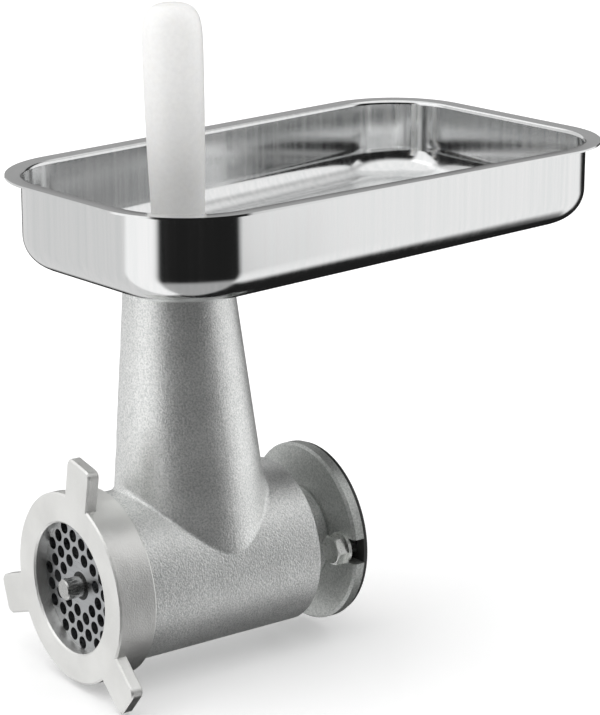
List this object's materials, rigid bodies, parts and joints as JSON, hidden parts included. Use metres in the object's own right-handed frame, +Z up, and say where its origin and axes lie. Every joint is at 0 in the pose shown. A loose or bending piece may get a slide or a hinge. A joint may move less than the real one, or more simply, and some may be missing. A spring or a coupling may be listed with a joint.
{
  "type": "meat mincer head",
  "caption": "Meat mincer head for a machine's power outlet: cast barrel and feed neck, ring nut over a perforated plate, steel tray and white pestle.",
  "frame": {"origin": "on the barrel axis, in the plane of the rear mounting face (the backing plate's rear face)", "axes": "+Y along the barrel axis towards the machine, so the plate and ring nut face -Y; +Z up along the feed neck; +X to the right seen from the front"},
  "size_m": [0.1782, 0.2881, 0.3103],
  "materials": {
    "cast_aluminium": "sand cast and shot blasted, fine speckle",
    "tumbled_aluminium": "tumbled, pale satin, bright edges",
    "worm_casting": "cast, satin",
    "stainless": "bright rolled stainless sheet",
    "plate_steel": "ground face",
    "tool_steel": "turned and ground",
    "zinc_steel": "zinc plated",
    "black_steel": "black oxide, satin",
    "white_plastic": "moulded white polyethylene, satin",
    "black_plastic": "black acetal",
    "bronze": "turned bronze",
    "rubber": "nitrile rubber"
  },
  "bodies": {
    "head": {"housing_barrel": "cast_aluminium", "housing_neck": "cast_aluminium", "plate_key": "tool_steel", "backing_plate": "black_steel", "clamp_washers": "zinc_steel", "rear_bush": "bronze", "shaft_seal": "rubber", "thrust_washer": "bronze"},
    "worm": {"worm": "worm_casting", "drive_pin": "tool_steel", "drive_shaft": "tool_steel", "front_stud": "tool_steel", "knife": "tool_steel"},
    "plate": {"perforated_plate": "plate_steel", "plate_bush": "black_plastic"},
    "ring_nut": {"ring_nut": "tumbled_aluminium"},
    "collar": {"tray_collar": "stainless"},
    "tray": {"tray_rim": "stainless", "tray_wall": "stainless", "tray_floor_edge": "stainless", "tray_floor": "stainless"},
    "pestle": {"pestle": "white_plastic"},
    "bolt_right": {"clamp_bolt_right": "zinc_steel"},
    "bolt_left": {"clamp_bolt_left": "zinc_steel"}
  },
  "joints": [
    {"name": "worm_spin", "type": "hinge", "parent": "head", "child": "worm", "pos_m": [0, -0.08, 0], "axis": [0, -1, 0], "continuous": true},
    {"name": "ring_nut_turn", "type": "hinge", "parent": "plate", "child": "ring_nut", "pos_m": [0, -0.13, 0], "axis": [0, -1, 0], "range_deg": [0, 1080]},
    {"name": "plate_travel", "type": "slide", "parent": "head", "child": "plate", "axis": [0, -1, 0], "range_m": [0, 0.0121]},
    {"name": "tray_lift", "type": "slide", "parent": "head", "child": "collar", "axis": [0, 0, 1], "range_m": [0, 0.06]},
    {"name": "tray_swivel", "type": "hinge", "parent": "collar", "child": "tray", "pos_m": [0, -0.0775, 0.142], "axis": [0, 0, 1], "continuous": true},
    {"name": "pestle_lift", "type": "slide", "parent": "head", "child": "pestle", "axis": [-0.0107, -0.0149, 0.9998], "range_m": [0, 0.15]},
    {"name": "bolt_right_turn", "type": "hinge", "parent": "head", "child": "bolt_right", "pos_m": [0.03298, -0.01, 0.00115], "axis": [0, -1, 0], "continuous": true},
    {"name": "bolt_left_turn", "type": "hinge", "parent": "head", "child": "bolt_left", "pos_m": [-0.03298, -0.01, -0.00115], "axis": [0, -1, 0], "continuous": true}
  ],
  "couplings": [
    {"joint": "plate_travel", "follows": "ring_nut_turn", "m_per_rad": 0.00063662}
  ]
}
